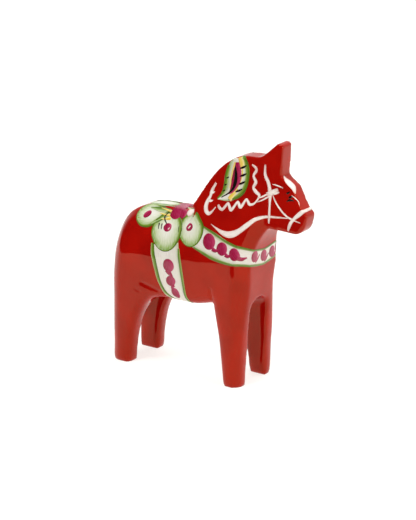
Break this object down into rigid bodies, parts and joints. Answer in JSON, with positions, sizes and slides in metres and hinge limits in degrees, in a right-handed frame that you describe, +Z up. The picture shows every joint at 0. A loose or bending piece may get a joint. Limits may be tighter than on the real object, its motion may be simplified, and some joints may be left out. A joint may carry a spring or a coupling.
{
  "type": "dala horse",
  "caption": "Carved wooden folk-art horse in glossy red lacquer, with a brush-painted saddle, girth, breast band, mane flower and bridle; it stands on its feet as a shelf ornament.",
  "frame": {"origin": "on the ground, under the middle of the overall box", "axes": "+X the way the nose points, +Y the horse's left, +Z up"},
  "size_m": [0.1138, 0.036, 0.1303],
  "materials": {
    "bare_pine": "sawn and knife-carved pine, bare end grain under the feet",
    "red_lacquer": "orange-red enamel under clear gloss varnish",
    "white_paint": "brushed white oil paint under clear gloss varnish",
    "crimson_paint": "brushed crimson oil paint blended with white, under varnish",
    "green_paint": "brushed leaf-green oil paint blended into white, under varnish",
    "dark_green_paint": "brushed dark green oil paint under varnish",
    "yellow_paint": "brushed yellow oil paint under varnish",
    "black_paint": "brushed black oil paint under varnish"
  },
  "bodies": {
    "root": {"pine_core": "bare_pine", "red_coat": "red_lacquer", "breast_band": "white_paint", "breast_band_dots": "crimson_paint", "breast_band_edges": "green_paint", "bridle_knot": "white_paint", "cheek_strap": "white_paint", "eyes": "black_paint", "forehead_blaze": "white_paint", "girth_band": "white_paint", "girth_band_edges": "green_paint", "girth_dots": "crimson_paint", "mane_flower": "white_paint", "mane_flower_crescent": "black_paint", "mane_flower_heart": "crimson_paint", "mane_flower_rim": "green_paint", "mane_flower_ticks": "black_paint", "mane_flower_yellow": "yellow_paint", "mane_scrolls": "white_paint", "noseband": "white_paint", "petal_dots": "crimson_paint", "petal_rims": "green_paint", "rein": "white_paint", "saddle_flower": "crimson_paint", "saddle_highlights": "white_paint", "saddle_leaves": "dark_green_paint", "saddle_petals": "white_paint", "saddle_yellow_strokes": "yellow_paint", "throat_scroll": "white_paint"}
  },
  "joints": []
}
